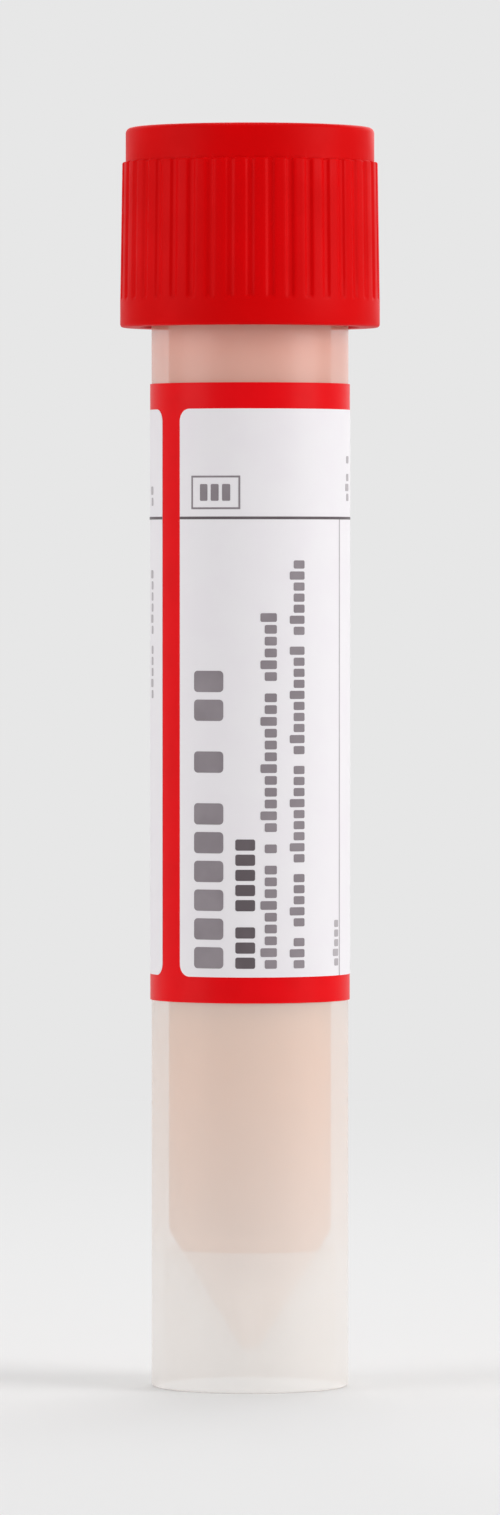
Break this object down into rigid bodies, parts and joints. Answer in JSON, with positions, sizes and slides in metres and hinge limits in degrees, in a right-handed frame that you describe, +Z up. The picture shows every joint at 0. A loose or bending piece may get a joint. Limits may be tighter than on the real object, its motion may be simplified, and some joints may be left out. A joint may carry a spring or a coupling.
{
  "type": "specimen swab tube",
  "caption": "Self-standing screw-cap tube with a conical floor, holding liquid medium for a swab, with a ribbed cap, a sealing washer and a wrapped label.",
  "frame": {"origin": "middle of the foot, on the surface that the tube stands on", "axes": "+Z up the tube's axis, towards the cap; the label's front faces -Y"},
  "size_m": [0.021, 0.021, 0.1023],
  "materials": {
    "tube": "translucent moulded polypropylene",
    "screw_cap": "opaque red moulding, satin gloss",
    "cap_seal": "soft, pale, matt",
    "label_ground": "red print on film, satin",
    "label_panel": "white print, satin",
    "transport_medium": "clear, pale beige-pink liquid"
  },
  "bodies": {
    "tube": {"tube": "tube", "label": "label_ground", "label_panels": "label_panel", "transport_medium": "transport_medium"},
    "seal": {"cap_seal": "cap_seal"},
    "cap": {"screw_cap": "screw_cap"}
  },
  "joints": [
    {"name": "cap_lift", "type": "slide", "parent": "tube", "child": "seal", "axis": [0, 0, 1], "range_m": [0, 0.02401]},
    {"name": "cap_turn", "type": "hinge", "parent": "seal", "child": "cap", "pos_m": [0, 0, 0], "axis": [0, 0, 1], "range_deg": [0, 2880]}
  ],
  "couplings": [
    {"joint": "cap_lift", "follows": "cap_turn", "m_per_rad": 0.00047746}
  ]
}
